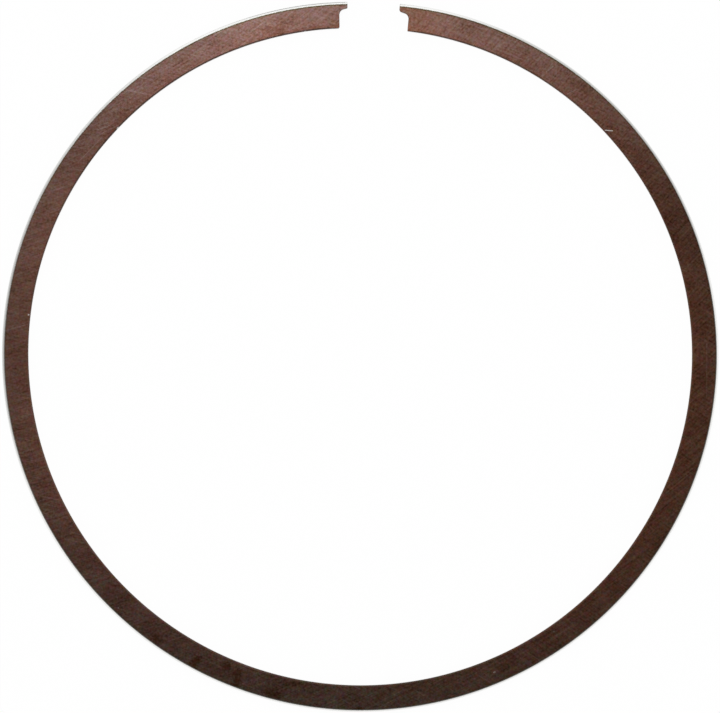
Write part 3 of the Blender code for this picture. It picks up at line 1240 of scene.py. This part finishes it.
@dataclass(frozen=True)
class RingFinish:
    """The whole finish of the ring."""

    coating: BrownCoating = BrownCoating()
    plating: FacePlating = FacePlating()
    bare_steel: Colour = (0.60, 0.58, 0.55)

    def border(self, spot: Spot, sizes: RingSizes) -> Signal:
        """Measure how far the point is from the plating's border.

        Args:
            spot: the point that is shaded.
            sizes: the ring's sizes, which place the border.

        Returns:
            The distance, positive on the coating's side.
        """
        graph, plating = spot.graph, self.plating
        reach = graph.vector_math("DOT_PRODUCT", spot.plan, direction(sizes.bevel_widest))
        border = reach * (2 * sizes.bevel_drift / sizes.bore) + sizes.bevel_width
        along, up = spot.travel / plating.ragged_run, spot.height / plating.ragged_rise
        wander = graph.noise(graph.vector(along, up), 3.0, 0.6)
        return spot.depth - border - wander * (4 * plating.ragged)

    def coated(self, spot: Spot, shine: Signal) -> Signal:
        """Colour of the coating before its edges and marks, with painted light and shade on some
        stretches.

        Args:
            spot: the point that is shaded.
            shine: brightness of the marks and patches, around 1, with painted light and shade in
                their contrast.

        Returns:
            The colour.
        """
        graph, coating = spot.graph, self.coating
        colour = graph.lay(coating.coolness.at(spot), coating.warm, coating.cool)
        sockets = {"Vector": spot.plan, "Scale": 1 / coating.hue, "Detail": 4.0, "Roughness": 0.7}
        patches = graph.signal("ShaderNodeTexNoise", {}, sockets, "Color")
        patches = graph.vector_math("SUBTRACT", patches, MIDDLE_GREY)
        patches = graph.vector_math("MULTIPLY", patches, coating.patches_in_shade.at(spot))
        across = spot.depth.rise(*coating.face_to_back)
        tints = (
            graph.vector_math("MULTIPLY_ADD", patches, coating.patches, WHITE),
            graph.lay(shine.rise(*coating.dull_to_bright), coating.dull, coating.bright),
            graph.lay(across, coating.toward_face, coating.toward_back),
            graph.lay(spot.level, coating.walls, WHITE),
            shine,
        )
        for tint in tints:
            colour = graph.tint(colour, tint)
        # Painted light and shade on some stretches, and the coating's own hue on others
        for stretch in coating.stretch_light_and_tints:
            colour = graph.tint(colour, stretch.tint, stretch.share(spot))
        return colour

    def edged(self, spot: Spot, colour: Signal, border: Signal, wall: float) -> Signal:
        """Paint shade on the coating along the plating, and thin the coating along the back.

        Args:
            spot: the point that is shaded.
            colour: the coating's colour so far.
            border: distance to the plating.
            wall: running face to back.

        Returns:
            The new colour.
        """
        graph, coating = spot.graph, self.coating
        patches = graph.noise(graph.vector(spot.travel / coating.worn, spot.upper * 4.0), 2.0)
        # Painted shade along the plating's border, darker toward the gap
        strength = (patches * coating.border_shade_patches + 1.0) * coating.border_shade_round.of(spot.ahead)
        colour = graph.tint(colour, coating.edge, border.rise(*coating.border_shade_zone) * strength)
        back = (wall - spot.depth).rise(*coating.back_zone)
        return graph.tint(colour, coating.back_edge, back * coating.back_patches.of(patches))

    def metal(self, spot: Spot, lapping: Signal) -> Signal:
        """Colour of the plating.

        Args:
            spot: the point that is shaded.
            lapping: the lapping lines, around 0.

        Returns:
            The colour.
        """
        graph, plating = spot.graph, self.plating
        share = lapping * plating.lap_contrast + 0.5
        bevel = graph.lay(share, plating.bevel, plating.bevel_lines)
        face = graph.lay(share, plating.face, plating.face_lines)
        return graph.lay(spot.flat.rise(*plating.bevel_level), face, bevel)

    def material(self, sizes: RingSizes, ring_height: float) -> bpy.types.Material:
        """Make the material.

        Args:
            sizes: the ring's sizes.
            ring_height: lower to upper side face.

        Returns:
            The material.
        """
        made = bpy.data.materials.new("coated_and_plated_steel")
        graph = ShaderGraph(made)
        coating, plating = self.coating, self.plating
        spot = Spot(graph, ring_height)
        grain = spot.noise(coating.grain, 3.0, 1.0)
        cloud = spot.noise(coating.cloud, 7.0, 4.0, 0.7)
        across = (spot.height + spot.depth) / plating.lap_pitch
        lapping = graph.noise(graph.vector(spot.travel / plating.lap_run, across), 2.0)

        # The sides are ground and the walls turned; the marks' contrast is painted stronger where
        # the light rakes one stretch, and away from the lamp
        strokes = [one.marks(spot) for one in coating.passes]
        ground = sum(strokes, grain * coating.grain_weight)
        marks = lapping + (ground - lapping) * spot.level
        raked = coating.raking.of(graph.math("COSINE", spot.bearing - coating.raked))
        contrast_in_shade = coating.marks_in_shade.at(spot) + coating.marks_under_lamp.of(spot.ahead)
        shine = (marks * contrast_in_shade * coating.shine + cloud * coating.cloud_weight) * raked
        shine = shine + coating.brightness

        # Colour from the coating up to the plating
        border = self.border(spot, sizes)
        colour = self.edged(spot, self.coated(spot, shine), border, sizes.radial_wall)
        for stain in coating.stains:
            mask = stain.mask(spot, cloud + grain * coating.stain_grain) * spot.upper
            colour = graph.tint(colour, coating.stain, mask)
        bare: Operand = 0.0
        for scratch in coating.scratches:
            bare = graph.math("MAXIMUM", bare, scratch.mask(spot) * spot.upper)
        colour = graph.lay(bare, colour, self.bare_steel)
        soft = plating.border.of(spot.ahead)
        plated = border.rise(soft, -1.0 * soft)
        colour = graph.lay(plated, colour, self.metal(spot, lapping))

        # Finish of the surface
        rough = spot.level * (coating.roughness - coating.wall_roughness)
        rough = rough + coating.wall_roughness + cloud * coating.cloud_roughness
        bright = lapping * plating.lap_roughness + plating.roughness
        rough = rough + plated * (bright - rough)
        relief = marks * (1.0 - plated * plating.smoothed) - bare * coating.scratch_depth
        sockets = {"Height": relief * coating.relief, "Distance": 1.0, "Strength": 1.0}
        bump = graph.signal("ShaderNodeBump", {}, sockets, "Normal")
        sockets = {"Base Color": colour, "Metallic": 1.0, "Roughness": rough, "Normal": bump}
        shader = graph.signal("ShaderNodeBsdfPrincipled", {}, sockets, "BSDF")
        graph.node("ShaderNodeOutputMaterial", {}, {"Surface": shader})
        return made


@dataclass(frozen=True)
class PhotoCamera:
    """Camera straight above the ring, turned as the photograph is."""

    distance: float = 700 * MM
    wide: int = 720                     # of the picture, in pixels
    high: int = 713
    pixels_per_mm: float = 10.531       # at the height of the upper face
    ring_x: float = 360.07              # where the ring's origin is seen
    ring_y: float = 357.17
    turn: float = math.radians(2.25)
    sensor: float = 36.0

    def place(self, level: float) -> None:
        """Make the camera.

        Args:
            level: height of the upper face.
        """
        data = bpy.data.cameras.new("photo_camera")
        data.sensor_width = self.sensor
        data.lens = self.pixels_per_mm / MM * self.distance * self.sensor / self.wide
        data.clip_start = 0.01
        data.clip_end = 20.0
        made = add_object("photo_camera", data)
        step = complex(self.wide / 2 - self.ring_x, self.ring_y - self.high / 2)
        spot = step / self.pixels_per_mm * MM * np.exp(1j * self.turn)
        made.location = (spot.real, spot.imag, level + self.distance)
        made.rotation_euler = (0.0, 0.0, self.turn)
        bpy.context.scene.camera = made


@dataclass(frozen=True)
class Table:
    """Plain white table top, which is clear from below and so shows the ring's underside."""

    half_width: float = 1.5
    clearance: float = 0.01 * MM        # to the ring's lower face
    colour: Colour = (0.90, 0.90, 0.90)
    seen_white: float = 0.97            # share of the picture's white that is the table's own

    def build(self) -> None:
        """Make the table top, which is not part of the ring."""
        half = self.half_width
        corners = [(-half, -half, 0), (half, -half, 0), (half, half, 0), (-half, half, 0)]
        mesh = bpy.data.meshes.new("table")
        mesh.from_pydata(corners, [], [(0, 1, 2, 3)])
        mesh.materials.append(self.material())
        made = add_object("table", mesh)
        made.location.z = -self.clearance

    def material(self) -> bpy.types.Material:
        """Make its material, which the camera and the metal see as white.

        Returns:
            The material.
        """
        made = bpy.data.materials.new("white_table")
        graph = ShaderGraph(made)
        seen = [
            graph.signal("ShaderNodeLightPath", {}, {}, ray)
            for ray in ("Is Camera Ray", "Is Glossy Ray", "Is Transmission Ray")
        ]
        share = graph.math("MAXIMUM", seen[0], graph.math("MAXIMUM", seen[1], seen[2]))
        surface = graph.signal("ShaderNodeBsdfDiffuse", {}, {"Color": self.colour}, "BSDF")
        white = graph.signal("ShaderNodeEmission", {}, {"Strength": 1.0}, "Emission")
        sockets = {"Fac": share * self.seen_white, "Shader": surface, "Shader_001": white}
        top = graph.signal("ShaderNodeMixShader", {}, sockets, "Shader")
        clear = graph.signal("ShaderNodeBsdfTransparent", {}, {}, "BSDF")
        below = graph.signal("ShaderNodeNewGeometry", {}, {}, "Backfacing")
        sockets = {"Fac": below, "Shader": top, "Shader_001": clear}
        both = graph.signal("ShaderNodeMixShader", {}, sockets, "Shader")
        graph.node("ShaderNodeOutputMaterial", {}, {"Surface": both})
        return made


@dataclass(frozen=True)
class TentPart:
    """Stretch of the tent that is more or less bright than the rest."""

    bearing: float
    reach: float                # to where it ends on either side
    walls: float                # its brightness against the rest, on the walls
    skirt: float                # and on the skirt

    def share(self, level: Signal, low: Signal) -> Signal:
        """Return the share of the brightness in a direction.

        Args:
            level: the direction without its height, of length 1.
            low: 0 on the walls and 1 on the skirt.

        Returns:
            The share, 1 beyond the stretch.
        """
        facing = level.graph.vector_math("DOT_PRODUCT", level, direction(self.bearing))
        dim = facing.rise(math.cos(self.reach), math.cos(0.3 * self.reach))
        loss = low * (self.walls - self.skirt) + (1.0 - self.walls)
        return 1.0 - dim * loss


@dataclass(frozen=True)
class LightTent:
    """White tent round the table, with a dim opening above for the camera."""

    walls: float = 1.5
    opening: float = 0.17
    skirt: float = 1.25                 # at the height of the table
    opening_edge: float = math.radians(10)
    opening_lean: float = math.radians(5)   # of its middle, away from straight above
    opening_bearing: float = math.radians(-40)
    walls_edge: float = math.radians(38)
    skirt_edges: tuple[float, float] = (math.radians(46), math.radians(60))
    parts: tuple[TentPart, ...] = (
        TentPart(math.radians(100), math.radians(14), walls=1.14, skirt=0.15),
        TentPart(math.radians(137), math.radians(13), walls=0.75, skirt=0.75),
        TentPart(math.radians(172), math.radians(36), walls=0.52, skirt=0.74),
        TentPart(math.radians(45), math.radians(36), walls=0.50, skirt=0.80),
    )

    def hang(self) -> None:
        """Make the world."""
        world = bpy.data.worlds.new("light_tent")
        bpy.context.scene.world = world
        graph = ShaderGraph(world)
        seen = graph.signal("ShaderNodeTexCoord", {}, {}, "Generated")
        x, y, height = graph.split(seen)
        level = graph.vector_math("NORMALIZE", graph.vector(x, y))
        middle = direction(self.opening_bearing, self.opening_lean)
        near = graph.vector_math("DOT_PRODUCT", seen, middle)
        wall = near.rise(math.cos(self.opening_edge), math.cos(self.walls_edge))
        low = height.rise(*(math.cos(edge) for edge in self.skirt_edges))
        light = low * (self.skirt - self.walls) + self.walls
        for part in self.parts:
            light = light * part.share(level, low)
        light = wall * (light - self.opening) + self.opening
        shader = graph.signal("ShaderNodeBackground", {}, {"Strength": light}, "Background")
        graph.node("ShaderNodeOutputWorld", {}, {"Surface": shader})


@dataclass(frozen=True)
class SoftBox:
    """Square lamp beyond the gap, which brightens the upper part of the picture."""

    size: float = 60 * MM
    distance: float = 300 * MM
    bearing: float = math.radians(105)
    tilt: float = math.radians(19.1)    # away from straight above
    power: float = 0.22

    def place(self) -> None:
        """Make the lamp, facing the ring."""
        data = bpy.data.lights.new("soft_box", "AREA")
        data.shape = "SQUARE"
        data.size = self.size
        data.energy = self.power
        made = add_object("soft_box", data)
        made.location = Vector(direction(self.bearing, self.tilt)) * self.distance
        made.rotation_mode = "QUATERNION"
        made.rotation_quaternion = (-made.location).to_track_quat("-Z", "Y")


def main() -> None:
    """Set the scene and dress the ring."""
    logging.basicConfig(level=logging.INFO, format="%(message)s")
    bpy.context.scene.view_settings.view_transform = "Standard"
    ring = PistonRing()
    PhotoCamera().place(ring.height)
    Table().build()
    LightTent().hang()
    SoftBox().place()
    piece = ring.build()
    ring.dress(piece, RingFinish())
    log.info("%s: %d faces", piece.name, len(piece.data.polygons))


if __name__ == "__main__":
    main()
